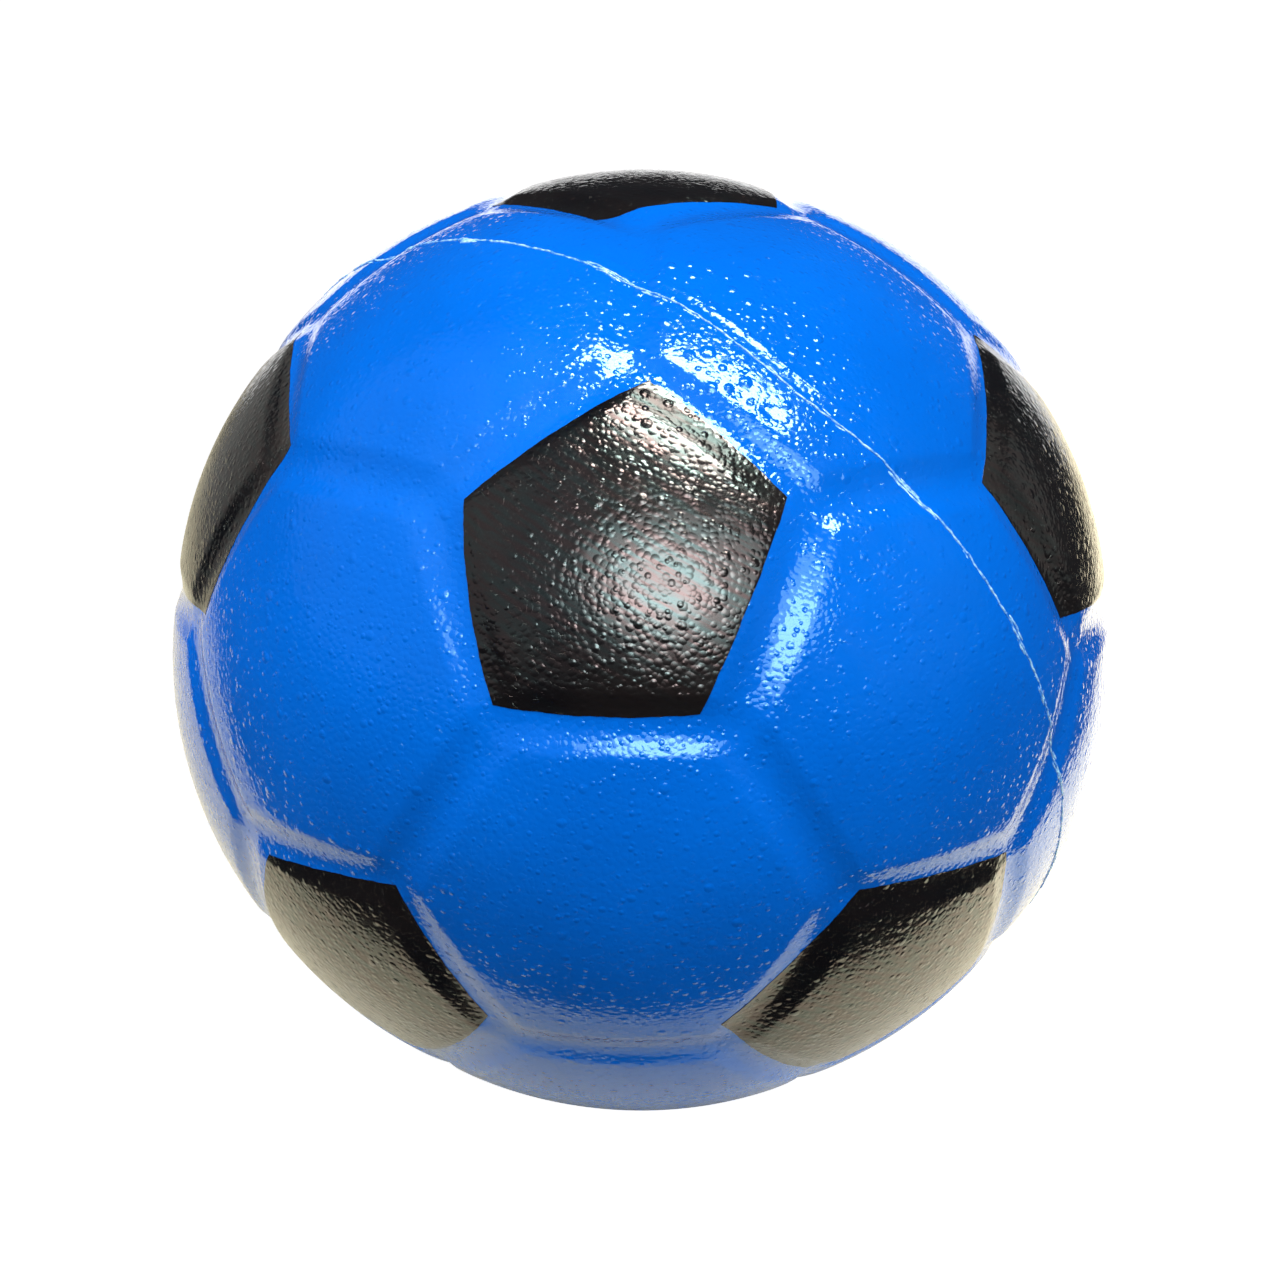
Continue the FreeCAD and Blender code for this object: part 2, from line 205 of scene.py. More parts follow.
# How far each side of a print bows outward at its middle, in mm, where it isn't the usual amount.
USUAL_BOWS = (0.5, 0.2, 0.6, 0.3, 0.4)
PRINT_BOWS = {"upper_front": (0.4, 1.3, 1.1, 0.2, 0.1)}

HEXAGON_RINGS = {
    "crown": (HEXAGON_RING_1, -54, UP),
    "upper": (HEXAGON_RING_2, -54, -UP),
    "lower": (180 - HEXAGON_RING_2, -90, UP),
    "base": (180 - HEXAGON_RING_1, -90, -UP),
}


def spin(angle):
    c, s = math.cos(math.radians(angle)), math.sin(math.radians(angle))
    return np.array([[c, -s, 0], [s, c, 0], [0, 0, 1]])


def pentagon_frame(name):
    polar, azimuth = PENTAGONS[name]
    if polar in (0, 180):
        return facing(outward(polar, azimuth), outward(90, azimuth + polar))
    return facing(outward(polar, azimuth), UP if polar < 90 else -UP)


PANELS = {}
for place in PENTAGONS:
    PANELS[f"pentagon_panel_{place}"] = (pentagon_frame(place), 5)
for ring, (polar, azimuth, pole) in HEXAGON_RINGS.items():
    for index in range(5):
        turned = facing(outward(polar, azimuth + 72 * index), pole) @ spin(30)
        PANELS[f"hexagon_panel_{ring}_{index + 1}"] = (turned, 6)

CENTRES = np.array([basis[:, 2] for basis, _ in PANELS.values()])
SIDES = np.array([sides for _, sides in PANELS.values()])
CORNERS = {5: PENTAGON_CORNER, 6: HEXAGON_CORNER}
# Each panel's plane, scaled so that the panel a direction falls on has the largest product.
PLANES = CENTRES / np.cos(np.radians([CORNERS[n] for n in SIDES]))[:, None]
DOME = np.where(SIDES == 5, PENTAGON_DOME, HEXAGON_DOME)

# ---------------------------------------------------------------- height of the skin

rng = np.random.default_rng(WAVE_SEED)
WAVES = unit(rng.normal(size=(WAVE_COUNT, 3))) * rng.uniform(*WAVE_RATES, size=(WAVE_COUNT, 1))
WAVE_PHASE = rng.uniform(0, 2 * math.pi, WAVE_COUNT)
WAVE_SIZE = WAVE_HEIGHT / (1 + np.linalg.norm(WAVES, axis=1) / WAVE_HALVED)


def smooth_min(a, b, k):
    """The lesser of two heights, rounded over a stretch of about k where they cross."""
    mix = np.clip(0.5 + 0.5 * (b - a) / k, 0, 1)
    return b * (1 - mix) + a * mix - k * mix * (1 - mix)


def domed(offset, cosine):
    """Height of a sphere of the panels' curvature, centred offset mm out on the panel's axis."""
    rho = CROWN - offset
    return offset * cosine + np.sqrt(rho**2 - offset**2 * (1 - cosine**2))


def bell(x, middle, reach, power=2):
    """1 at the middle, falling to about a third at the reach; a higher power makes it squarer."""
    return np.exp(-(np.abs((x - middle) / reach) ** power))


def parting_shift(angle):
    """How far the parting line strays from its plane, in mm, at angles round the valve's axis."""
    return STRAY_SIZE * bell(angle, STRAY_ANGLE, STRAY_REACH)


def mould_step(d):
    """Height of the sunken strip beside the flash and of the low lip beyond it, in mm."""
    angle = np.degrees(np.arctan2(d @ PARTING[:, 1], d @ PARTING[:, 0]))
    beside = CROWN * np.arcsin(np.clip(d @ VALVE_AXIS, -1, 1)) - parting_shift(angle)
    strip = np.clip(beside / STEP_EDGE, 0, 1) * np.clip((LIP_PLACE - beside) / LIP_WIDTH, 0, 1)
    lip = bell(beside, LIP_PLACE, LIP_WIDTH)
    stretch = bell(angle, STEP_ANGLE, STEP_REACH, STEP_SQUARENESS)
    return stretch * (STEP_LIP * lip - STEP_SUNK * strip)


def dents(d):
    """Depth of the shallow dents, in mm."""
    total = np.zeros(len(d))
    for polar, azimuth, reach, depth in DENTS:
        away = CROWN * np.arccos(np.clip(d @ outward(polar, azimuth), -1, 1))
        total = total + depth * bell(away, 0, reach * DENT_SPREAD)
    return total


def skin(directions):
    """Distance from the ball's centre to the skin, in mm, along unit directions."""
    d = np.asarray(directions)
    score = d @ PLANES.T
    order = np.argsort(-score, axis=1, kind="stable")[:, :4]
    panel = order[:, 0]
    centre = CENTRES[panel]
    cos_t = np.clip((d * centre).sum(1), -1, 1)
    height = domed(DOME[panel], cos_t)
    for rank in (1, 2, 3):
        other = order[:, rank]
        seam = PLANES[panel] - PLANES[other]
        away = CROWN * np.arcsin(np.clip((d * seam).sum(1) / np.linalg.norm(seam, axis=1), 0, 1))
        theirs = domed(DOME[other], np.clip((d * CENTRES[other]).sum(1), -1, 1))
        height = height + 0.5 * (theirs - height) * np.exp(-((away / SEAM_FADE) ** 2))
        inside = np.minimum(away, GROOVE)
        groove = VALLEY + GROOVE - np.sqrt(GROOVE**2 - inside**2)
        groove = groove + np.maximum(away - GROOVE, 0) * GROOVE_SLOPE
        height = smooth_min(groove, height, SHOULDER_BLEND)
    uneven = np.sin(d @ WAVES.T + WAVE_PHASE) @ WAVE_SIZE
    height = height + UNEVEN_LIMIT * np.tanh(uneven * UNEVEN_GAIN)
    ring = CROWN * np.arccos(np.clip(d @ VALVE_AXIS, -1, 1))
    bead = np.clip(1 - ((ring - RING_RADIUS) / RING_SECTION) ** 2, 0, 1)
    return height + RING_HEIGHT * bead**1.5 + mould_step(d) - dents(d)


def slopes(directions):
    """Outward unit normals of the skin."""
    d = unit(np.asarray(directions))
    helper = np.where(np.abs(d[:, 2:3]) < 0.8, UP, np.array([1.0, 0, 0]))
    e1 = unit(np.cross(helper, d))
    e2 = np.cross(d, e1)
    normals = d * skin(d)[:, None]
    for along in (e1, e2):
        ahead, behind = skin(unit(d + SLOPE_STEP * along)), skin(unit(d - SLOPE_STEP * along))
        normals = normals - along * ((ahead - behind) / (2 * SLOPE_STEP))[:, None]
    return unit(normals)


# ---------------------------------------------------------------- meshes


def mesh_object(name, points_mm, faces, normals=None, material=None):
    """A mesh piece; normals, one per vertex or None, shade the faces whose corners all have one."""
    mesh = bpy.data.meshes.new(name)
    mesh.from_pydata([tuple(p) for p in np.asarray(points_mm) * MM], [], faces)
    mesh.validate()
    mesh.update()
    piece = bpy.data.objects.new(name, mesh)
    bpy.context.scene.collection.objects.link(piece)
    mesh.shade_smooth()
    if normals is not None:
        corner_normals = []
        for polygon in mesh.polygons:
            own = polygon.normal
            for vertex in polygon.vertices:
                normal = normals[vertex]
                usable = normal is not None and own.dot(Vector(normal)) > ROUND_LIMIT
                corner_normals.append(tuple(normal) if usable else tuple(own))
        mesh.normals_split_custom_set(corner_normals)
    if material:
        mesh.materials.append(material)
    return piece


def flat_polygon(sides, radius):
    """Corners of a regular polygon in the plane, the first on +X."""
    angles = 2 * np.pi * np.arange(sides) / sides
    return radius * np.column_stack([np.cos(angles), np.sin(angles)])


def fan_grid(outline_of, sides, count):
    """Triangular grid of a polygon: rings of sides*k points round the centre, k = 0 to count.

    outline_of(t) gives the outline's point at t from 0 to sides. Returns points, faces and the
    indices of the outermost ring."""
    points = [np.zeros(2)]
    starts = [0]
    for k in range(1, count + 1):
        starts.append(len(points))
        for j in range(sides * k):
            points.append(outline_of(j / k) * (k / count))
    faces = []
    for side in range(sides):
        for k in range(count):
            inner_n, outer_n = sides * k, sides * (k + 1)
            for j in range(k + 1):
                outer_a = starts[k + 1] + (side * (k + 1) + j) % outer_n
                outer_b = starts[k + 1] + (side * (k + 1) + j + 1) % outer_n
                inner_a = starts[k] + ((side * k + j) % inner_n if k else 0)
                faces.append((inner_a, outer_a, outer_b))
                if j < k:
                    inner_b = starts[k] + (side * k + j + 1) % inner_n
                    faces.append((inner_a, outer_b, inner_b))
    rim = [starts[count] + j for j in range(sides * count)]
    return np.array(points), faces, rim


def hole_grid(outline_of, sides, count, hole, levels):
    """Grid between a round hole and a polygon. levels run from 0 at the hole to 1 at the outline.

    Returns points, faces and the indices of the outer and inner rims."""
    total = sides * count
    angle_points = [outline_of(j / count) for j in range(total)]
    points = []
    for level in levels:
        for p in angle_points:
            start = hole * p / np.linalg.norm(p)
            points.append(start + (p - start) * level)
    faces = []
    for ring in range(len(levels) - 1):
        for j in range(total):
            a, b = ring * total + j, ring * total + (j + 1) % total
            c, e = b + total, a + total
            faces.append((a, e, c, b))
    rim = [(len(levels) - 1) * total + j for j in range(total)]
    hole_rim = list(range(total))
    return np.array(points), faces, rim, hole_rim


def straight_outline(sides, radius):
    """Outline of a regular polygon, as a function of t from 0 to its number of sides."""
    corners = flat_polygon(sides, radius)

    def outline_of(t):
        side = int(t) % sides
        return corners[side] + (corners[(side + 1) % sides] - corners[side]) * (t - int(t))

    return outline_of


def on_ball(flat, basis):
    """Directions of points on the plane one unit out along the basis's Z."""
    local = np.column_stack([flat, np.ones(len(flat))])
    return unit(local @ basis.T)


def closed_piece(name, directions, outer, inner, faces, rims, normals, material):
    """Two copies of a surface, outer and inner, joined by walls along each rim."""
    count = len(directions)
    points = np.vstack([directions * outer[:, None], directions * inner[:, None]])
    solid = list(faces)
    solid += [tuple(i + count for i in reversed(face)) for face in faces]
    for rim, outside in rims:
        for a, b in zip(rim, rim[1:] + rim[:1]):
            wall = (b, a, a + count, b + count)
            solid.append(wall if outside else tuple(reversed(wall)))
    shading = [*normals, *(-directions)]
    return mesh_object(name, points, solid, shading, material)


def valve_levels():
    """Levels of the valve panel's grid, finer near the hole, where the raised ring is."""
    fine, coarse = VALVE_FINE_STEPS, VALVE_COARSE_STEPS
    near = [VALVE_FINE_PART * i / fine for i in range(fine + 1)]
    far = [VALVE_FINE_PART + (1 - VALVE_FINE_PART) * (i + 1) / coarse for i in range(coarse)]
    return near + far


def panel_piece(node, material):
    """One cover panel, from the skin down to the inside of the cover."""
    basis, sides = PANELS[node]
    outline_of = straight_outline(sides, math.tan(math.radians(CORNERS[sides])))
    if node == f"pentagon_panel_{VALVE_PENTAGON}":
        hole = NECK / CROWN
        flat, faces, rim, hole_rim = hole_grid(outline_of, sides, GRID, hole, valve_levels())
        rims = [(rim, True), (hole_rim, False)]
    else:
        flat, faces, rim = fan_grid(outline_of, sides, GRID)
        rims = [(rim, True)]
    directions = on_ball(flat, basis)
    outer = skin(directions)
    inner = np.full(len(outer), CORE)
    piece = closed_piece(
        f"{node}_skin", directions, outer, inner, faces, rims, slopes(directions), material
    )
    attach(piece, BALL)
    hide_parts(node)


def print_corners(place):
    """A print's five corners, on the plane one unit out along its pentagon's axis."""
    corners = []
    for turn, reach in PRINT_CORNERS[place]:
        a = math.radians(turn)
        corners.append(math.tan(math.radians(reach)) * np.array([math.cos(a), math.sin(a)]))
    return corners


def print_outline(place):
    """A print's outline: five corners, bowed sides and a slightly ragged edge."""
    corners = print_corners(place)
    bows = PRINT_BOWS.get(place, USUAL_BOWS)
    draw = np.random.default_rng(RAGGED_SEED + list(PENTAGONS).index(place))
    phases = draw.uniform(0, 2 * math.pi, (5, len(RAGGED_WAVES)))

    def outline_of(t):
        side = int(t) % 5
        u = t - int(t)
        start, end = corners[side], corners[(side + 1) % 5]
        along = end - start
        normal = np.array([along[1], -along[0]]) / np.linalg.norm(along)
        ragged = sum(
            math.sin(halves * math.pi * u + phases[side][rank]) / (1 + rank)
            for rank, halves in enumerate(RAGGED_WAVES)
        )
        arch = 4 * u * (1 - u)
        push = bows[side] * arch + RAGGED * ragged * min(1, 3 * arch)
        return start + along * u + normal * push / CROWN

    return outline_of


def print_piece(place, material):
    """One black print, a thin film on its pentagon."""
    basis = pentagon_frame(place)
    outline_of = print_outline(place)
    if place == VALVE_PENTAGON:
        levels = [i / WINDOW_STEPS for i in range(WINDOW_STEPS + 1)]
        flat, faces, rim, hole_rim = hole_grid(outline_of, 5, GRID, PRINT_WINDOW / CROWN, levels)
        rims = [(rim, True), (hole_rim, False)]
    else:
        flat, faces, rim = fan_grid(outline_of, 5, GRID)
        rims = [(rim, True)]
    directions = on_ball(flat, basis)
    height = skin(directions)
    piece = closed_piece(
        f"pentagon_print_{place}_film",
        directions,
        height + FILM,
        height - FILM_SINK,
        faces,
        rims,
        slopes(directions),
        material,
    )
    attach(piece, BALL)
    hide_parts(f"pentagon_print_{place}")
    return piece


def on_print(place, direction):
    """Whether a direction falls inside a print's five corners."""
    x, y, z = direction @ pentagon_frame(place)
    spot = np.array([x, y]) / z
    corners = print_corners(place)
    for start, end in zip(corners, corners[1:] + corners[:1]):
        along = end - start
        if along[0] * (spot - start)[1] - along[1] * (spot - start)[0] < 0:
            return False
    return True


def blister_spots():
    """Directions and radii of the large blisters, spread at random but not too close."""
    draw = np.random.default_rng(BLISTER_SEED)
    basis = facing(outward(*BLISTER_PATCH), UP)
    spots = []
    for _ in range(BLISTER_TRIES * BLISTER_COUNT):
        away = BLISTER_REACH / CROWN * math.sqrt(draw.uniform())
        turn = draw.uniform(0, 2 * math.pi)
        direction = unit(basis @ np.array([away * math.cos(turn), away * math.sin(turn), 1.0]))
        shrink = BLISTER_SHRINK * away * CROWN / BLISTER_REACH
        size = draw.uniform(BLISTER_SMALL, BLISTER_LARGE) * (1 - shrink)
        if all(CROWN * np.linalg.norm(direction - other) > BLISTER_GAP for other, _ in spots):
            spots.append((direction, size))
        if len(spots) == BLISTER_COUNT:
            break
    return spots


def blister_piece(name, spots, lift, material):
    """Low round domes on the skin, each one a small mesh of rings."""
    points, faces = [], []
    around = BLISTER_SIDES
    for direction, size in spots:
        start = len(points)
        basis = facing(direction, UP)
        flat = [(0.0, 0.0)]
        for level in BLISTER_LEVELS:
            for turn in 2 * np.pi * np.arange(around) / around:
                flat.append((level * size * math.cos(turn), level * size * math.sin(turn)))
        flat = np.array(flat)
        directions = on_ball(flat / CROWN, basis)
        rise = 1 - np.clip((flat**2).sum(axis=1) / size**2, 0, 1)
        tall = BLISTER_HEIGHT * size / BLISTER_LARGE
        heights = skin(directions) + lift - FILM_SINK + (tall + FILM_SINK) * rise
        points.extend(directions * heights[:, None])
        for step in range(around):
            beside = (step + 1) % around
            faces.append((start, start + 1 + step, start + 1 + beside))
            for ring in range(len(BLISTER_LEVELS) - 1):
                low, high = start + 1 + ring * around, start + 1 + (ring + 1) * around
                faces.append((low + step, high + step, high + beside, low + beside))
    piece = mesh_object(name, points, faces, None, material)
    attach(piece, BALL)
    return piece


def waves_round(draw, angles, counts):
    """Sum of waves that run a whole number of times round the ball, mostly between -1 and 1."""
    total = sum(np.sin(n * angles + draw.uniform(0, 2 * math.pi)) for n in counts)
    return total / math.sqrt(len(counts))


def flash_strand(seed, shift, presence):
    """Points and faces of one thread of flash on the great circle round the valve's axis.

    presence is how much of the circle it stands proud on, from 0 to 1; elsewhere it sinks in."""
    draw = np.random.default_rng(seed)
    angles = 2 * np.pi * np.arange(FLASH_STEPS) / FLASH_STEPS
    degrees = (np.degrees(angles) + 180) % 360 - 180
    rough = waves_round(draw, angles, ROUGH_WAVES) + draw.normal(size=FLASH_STEPS, scale=ROUGH_GRAIN)
    wander = parting_shift(degrees) + WANDER * waves_round(draw, angles, WANDER_WAVES)
    lump = 1 + LUMP_SIZE * bell(degrees, LUMP_ANGLE, LUMP_REACH)
    here = np.clip(2.0 * waves_round(draw, angles, TORN_WAVES) + 4 * presence - 2, 0, 1)
    tall = FLASH_HEIGHT * np.clip(0.75 + 0.25 * rough, 0.35, 1.1) * here * np.sqrt(lump)
    wide = FLASH_WIDTH * np.clip(1 + 0.22 * rough, 0.6, 1.5) * lump
    ring = np.cos(angles)[:, None] * PARTING[:, 0] + np.sin(angles)[:, None] * PARTING[:, 1]
    points = []
    for turn in np.radians(np.arange(0, 360, 360 / FLASH_SIDES)):
        across = (shift + wander + 0.5 * wide * math.cos(turn)) / CROWN
        directions = unit(ring + across[:, None] * VALVE_AXIS)
        lift = tall * math.sin(turn) if turn < math.pi else FLASH_ROOT * math.sin(turn)
        base = skin(directions) - FLASH_ROOT * (1 - here)
        points.append(directions * (base + lift)[:, None])
    faces = []
    for row in range(len(points)):
        beside = (row + 1) % len(points)
        for step in range(FLASH_STEPS):
            after = (step + 1) % FLASH_STEPS
            corners = ((row, step), (row, after), (beside, after), (beside, step))
            faces.append(tuple(r * FLASH_STEPS + k for r, k in corners))
    return np.concatenate(points), faces


def flash_piece(material):
    """The mould's parting line: a thin torn thread of rubber, doubled here and there."""
    points, faces = [], []
    for seed, shift, presence in FLASH_STRANDS:
        strand_points, strand_faces = flash_strand(seed, shift, presence)
        start = sum(len(group) for group in points)
        points.append(strand_points)
        faces += [tuple(start + i for i in face) for face in strand_faces]
    piece = mesh_object("parting_line_flash", np.concatenate(points), faces, None, material)
    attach(piece, BALL)


# ---------------------------------------------------------------- materials


# Relief of each rubber: pebbles, beads and blisters as (spacing, least and greatest radius as parts
# of the spacing, height), and the height of a slow ripple. Spacings and heights are in mm.
BLUE_RELIEF = ((1.20, 0.50, 0.85, 0.052), (1.7, 0.14, 0.40, 0.12), (4.6, 0.09, 0.26, 0.17), 0.025)
FILM_RELIEF = ((1.30, 0.45, 0.80, 0.066), (1.9, 0.18, 0.42, 0.10), (4.0, 0.12, 0.30, 0.17), 0.025)
FINE_RELIEF = ((0.50, 0.40, 0.70, 0.050), (0.9, 0.15, 0.40, 0.05), (2.0, 0.10, 0.30, 0.05), 0.010)
# Power that rounds each dome's foot, and noise scales per metre with the ranges taken from them.
DOME_SOFTNESS = 1.25
RIPPLE_SCALE = 260.0
MOTTLE_RANGE = (0.35, 0.65)
GLOSS_SCALE, GLOSS_RANGE = 140.0, (0.3, 0.7)
# Streaks of the film's sheen: tilt in degrees, size, and the range of noise they take.
STREAK_TILT = 27
STREAK_SIZE = (12 * MM, 3.0 * MM, 1.0 * MM)
STREAK_RANGE = (0.38, 0.62)
GREEN_SHEEN, PINK_SHEEN = (0.76, 1.0, 0.99, 1), (1.0, 0.76, 0.75, 1)
# The thread's colours: painted shade down between the turns and painted light on their crests.
THREAD_SHADE, THREAD_LIGHT = (0.55, 0.53, 0.47, 1), (0.86, 0.85, 0.80, 1)
RUBBER_IOR = 1.5


def new_material(name):
    """An empty node tree with a Principled shader; returns material, tree and shader."""
    material = bpy.data.materials.new(name)
    material.use_nodes = True
    tree = material.node_tree
    tree.nodes.clear()
    shader = tree.nodes.new("ShaderNodeBsdfPrincipled")
    output = tree.nodes.new("ShaderNodeOutputMaterial")
    tree.links.new(shader.outputs[0], output.inputs[0])
    return material, tree, shader


def node(tree, kind, inputs=None, **settings):
    """A shader node; each input is a value or another node's output."""
    made = tree.nodes.new(f"ShaderNode{kind}")
    for key, value in settings.items():
        setattr(made, key, value)
    for key, value in (inputs or {}).items():
        if isinstance(value, bpy.types.NodeSocket):
            tree.links.new(value, made.inputs[key])
        else:
            made.inputs[key].default_value = value
    return made


def maths(tree, operation, first, second):
    return node(tree, "Math", {0: first, 1: second}, operation=operation).outputs[0]


def remap(tree, value, low, high, start=0.0, end=1.0):
    """A value's place between low and high, held to those limits and scaled from start to end."""
    return node(tree, "MapRange", {0: value, 1: low, 2: high, 3: start, 4: end}).outputs[0]


def mixed(tree, factor, first, second):
    """A colour between two others."""
    return node(tree, "Mix", {0: factor, 6: first, 7: second}, data_type="RGBA").outputs[2]


def clouds(tree, place, scale, detail):
    """Soft noise from 0 to 1."""
    return node(tree, "TexNoise", {"Vector": place, "Scale": scale, "Detail": detail}).outputs[0]


def domes(tree, place, spacing, low, high):
    """Round domes, 1 at the top of the largest; low and high are radii as parts of the spacing."""
    cells = node(tree, "TexVoronoi", {"Vector": place, "Scale": 1 / (spacing * MM)})
    pick = node(tree, "SeparateColor", {0: cells.outputs["Color"]}).outputs[0]
    reach = remap(tree, pick, 0.0, 1.0, low, high)
    ratio = maths(tree, "DIVIDE", cells.outputs["Distance"], reach)
    dome = maths(tree, "SUBTRACT", 1.0, maths(tree, "POWER", ratio, 2.0))
    soft = maths(tree, "POWER", maths(tree, "MAXIMUM", dome, 0.0), DOME_SOFTNESS)
    return maths(tree, "MULTIPLY", soft, maths(tree, "DIVIDE", reach, high))


def pimples(tree, place, pebble, beads, blisters, ripple):
    """Height of the skin's relief in mm: a close pebble grain, with separate beads and a few larger
    blisters on it, and a slow ripple. Each of the three kinds of dome is (spacing, low, high,
    height); ripple is a height."""
    layers = []
    for spacing, low, high, height in (pebble, beads, blisters):
        layers.append(maths(tree, "MULTIPLY", domes(tree, place, spacing, low, high), height))
    raised = maths(tree, "ADD", layers[0], maths(tree, "MAXIMUM", layers[1], layers[2]))
    slow = clouds(tree, place, RIPPLE_SCALE, 1.0)
    return maths(tree, "ADD", raised, maths(tree, "MULTIPLY", slow, ripple))


def rubber(name, colour, shade, roughness, relief, mottle=30.0):
    """Moulded rubber: colour mottled at the given scale, uneven gloss and pimples."""
    material, tree, shader = new_material(name)
    place = node(tree, "TexCoord").outputs["Object"]
    cloud = remap(tree, clouds(tree, place, mottle, 3.0), *MOTTLE_RANGE)
    tree.links.new(mixed(tree, cloud, colour, shade), shader.inputs["Base Color"])
    gloss = remap(tree, clouds(tree, place, GLOSS_SCALE, 4.0), *GLOSS_RANGE, *roughness)
    tree.links.new(gloss, shader.inputs["Roughness"])
    height = pimples(tree, place, *relief)
    bump = node(tree, "Bump", {"Height": height, "Distance": MM, "Strength": 1.0})
    tree.links.new(bump.outputs[0], shader.inputs["Normal"])
    shader.inputs["IOR"].default_value = RUBBER_IOR
    return material, tree, shader


blue_rubber, _, blue_shader = rubber(
    "blue_rubber", (0.0, 0.105, 0.52, 1), (0.0, 0.092, 0.46, 1), (0.06, 0.12), BLUE_RELIEF
)
blue_shader.inputs["Specular Tint"].default_value = (0.50, 0.88, 1.0, 1)
scuffed_rubber, _, _ = rubber(
    "scuffed_rubber",
    (0.02, 0.18, 0.60, 1),
    (0.40, 0.66, 0.80, 1),
    (0.10, 0.35),
    FINE_RELIEF,
    mottle=900.0,
)
black_film, film_tree, film_shader = rubber(
    "black_film", (0.0016, 0.0018, 0.0028, 1), (0.0064, 0.0050, 0.0050, 1), (0.14, 0.22), FILM_RELIEF
)
butyl, _, _ = rubber(
    "butyl", (0.02, 0.02, 0.02, 1), (0.03, 0.03, 0.03, 1), (0.4, 0.6), FINE_RELIEF
)
plug_rubber, _, _ = rubber(
    "plug_rubber", (0.03, 0.03, 0.032, 1), (0.045, 0.045, 0.045, 1), (0.35, 0.5), FINE_RELIEF
)


def oily_sheen(tree, shader):
    """Green and pink streaks in the film's reflections, as where a layer of ink was wiped on."""
    place = node(tree, "TexCoord").outputs["Object"]
    wiped = node(
        tree,
        "Mapping",
        {
            "Vector": place,
            "Rotation": (0.0, math.radians(STREAK_TILT), 0.0),
            "Scale": STREAK_SIZE,
        },
        vector_type="TEXTURE",
    )
    pick = remap(tree, clouds(tree, wiped.outputs[0], 1.0, 5.0), *STREAK_RANGE)
    tree.links.new(mixed(tree, pick, GREEN_SHEEN, PINK_SHEEN), shader.inputs["Specular Tint"])


oily_sheen(film_tree, film_shader)


def thread_material():
    """Nylon thread wound in crossing turns, with painted shade between the turns and painted light
    on their crests.
    """
    material, tree, shader = new_material("nylon_thread")
    place = node(tree, "TexCoord").outputs["Object"]
    turns = []
    for axis in ("X", "Y"):
        turns.append(
            node(
                tree,
                "TexWave",
                {"Vector": place, "Scale": 400.0, "Distortion": 6.0, "Detail": 2.0},
                bands_direction=axis,
            ).outputs["Fac"]
        )
    height = maths(tree, "MAXIMUM", *turns)
    # Painted shade: the colour follows the turns' height, darker in the grooves and lighter on the
    # crests.
    tree.links.new(mixed(tree, height, THREAD_SHADE, THREAD_LIGHT), shader.inputs["Base Color"])
    bump = node(tree, "Bump", {"Height": height, "Distance": 0.2 * MM})
    tree.links.new(bump.outputs[0], shader.inputs["Normal"])
    shader.inputs["Roughness"].default_value = 0.6
    return material


def dress(node_name, material):
    """Gives a CAD node that stays in view a better material."""
    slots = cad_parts[node_name].data.materials
    slots.clear()
    slots.append(material)


for panel in PANELS:
    panel_piece(panel, blue_rubber)
prints = [print_piece(place, black_film) for place in PENTAGONS]
flash_piece(scuffed_rubber)
printed, plain = [], []
for spot in blister_spots():
    group = printed if on_print("upper_front", spot[0]) else plain
    group.append(spot)
blister_piece("rubber_blisters", plain, 0.0, blue_rubber)
prints.append(blister_piece("print_blisters", printed, FILM, black_film))
dress("nylon_winding", thread_material())
dress("butyl_bladder", butyl)
dress("valve_seat", butyl)
dress("valve_plug", plug_rubber)

# ---------------------------------------------------------------- stage, light and camera

scene = bpy.context.scene
FLOOR_GAP = 0.2 * MM
ground = min(corner[2] for corner in cad_box) - FLOOR_GAP

# The floor and the surround fill the picture with plain white. The paper is what the ball's gloss
# mirrors: a white sheet under and behind it, which ends just in front of it. Outlines are in metres.
FLOOR_REACH = 12.0
FLOOR_OUTLINE = [(x * FLOOR_REACH, y * FLOOR_REACH) for x, y in ((-1, -1), (1, -1), (1, 1), (-1, 1))]
SURROUND_RADIUS = 10.0
BACKDROP_DISTANCE = 3.0
BACKDROP_OUTLINE = ((-1.7, -0.11), (1.9, -0.11), (1.9, 0.75), (-1.7, 0.75))
PAPER_OUTLINE = (
    (-0.09, -0.107),
    (0.09, -0.107),
    (0.17, -0.06),
    (0.26, 0.05),
    (0.60, 0.70),
    (2.0, 3.0),
    (-3.0, 3.0),
    (-0.9, 0.40),
    (-0.24, -0.02),
    (-0.16, -0.075),
)
PAPER_WARM = (0.95, 0.84, 0.60, 1)
# The paper glows more and more from the first place to the second, going right: painted light, as
# where more lamp light falls on its right side.
PAPER_GLOW, PAPER_GLOW_SPAN = 1.7, (0.02, 0.20)
# A painted shadow of the ball on it: colour, middle, and the distances where it starts to fade and
# has gone.
PAPER_SHADE = (0.74, 0.67, 0.50, 1)
PAPER_SHADOW = (0.0, -0.07, ground)
PAPER_SHADOW_SPAN = (0.030, 0.075)
FLOOR_GLOW, SURROUND_GLOW, BACKDROP_GLOW = 1.05, 1.1, 1.8
BLACK, GREY, WHITE = (0, 0, 0, 1), (0.5, 0.5, 0.5, 1), (1, 1, 1, 1)
DULL = 0.9


def stage_material(name, colour, glow):
    """A dull plain material that glows white."""
    material, _, shader = new_material(name)
    shader.inputs["Base Color"].default_value = colour
    shader.inputs["Roughness"].default_value = DULL
    shader.inputs["Specular IOR Level"].default_value = 0.0
    shader.inputs["Emission Color"].default_value = WHITE
    shader.inputs["Emission Strength"].default_value = glow
    return material


